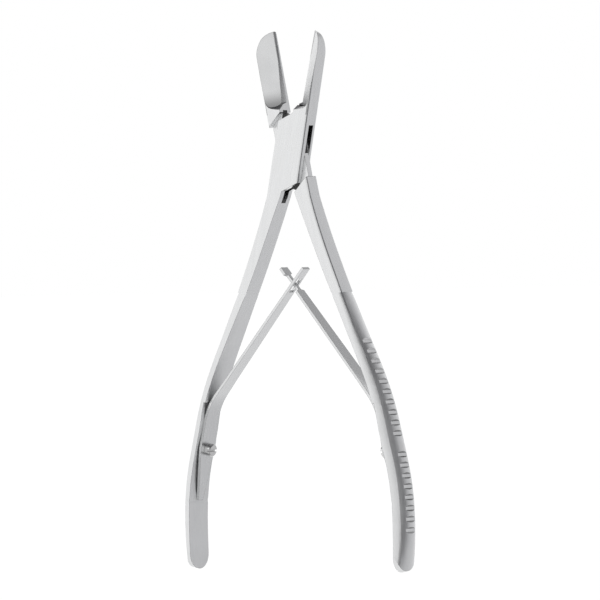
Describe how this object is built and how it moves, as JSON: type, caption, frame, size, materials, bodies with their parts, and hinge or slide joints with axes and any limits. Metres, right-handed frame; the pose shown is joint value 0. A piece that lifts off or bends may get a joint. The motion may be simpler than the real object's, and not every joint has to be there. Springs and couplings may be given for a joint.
{
  "type": "bone cutting forceps",
  "caption": "Spring-opened steel bone cutting forceps: two straight bevelled blades on a box lock, bowed grooved handles and crossing leaf springs screwed inside them.",
  "frame": {"origin": "on the pivot's axis, in the plane of the box's flat front face", "axes": "+Z points to the blade tips, +Y runs along the pivot's axis from the front face to the back, and +X points to the side of the slotted half's blade"},
  "size_m": [0.0994, 0.0106, 0.19],
  "materials": {
    "satin_steel": "fine satin, brushed along the tool",
    "spring_steel": "satin rolled strip",
    "screw_steel": "turned, semi-bright"
  },
  "bodies": {
    "box_half": {"box_half": "satin_steel", "pivot_pin": "satin_steel", "window_leaf": "spring_steel", "window_leaf_screw": "screw_steel"},
    "tongue_half": {"tongue_half": "satin_steel", "link_leaf": "spring_steel", "link_leaf_screw": "screw_steel"}
  },
  "joints": [
    {"name": "pivot", "type": "hinge", "parent": "box_half", "child": "tongue_half", "pos_m": [0, 0, 0], "axis": [0, 1, 0], "range_deg": [0, 23.2], "stiffness_Nm_per_rad": 4, "deforming": ["window_leaf", "link_leaf"]}
  ]
}
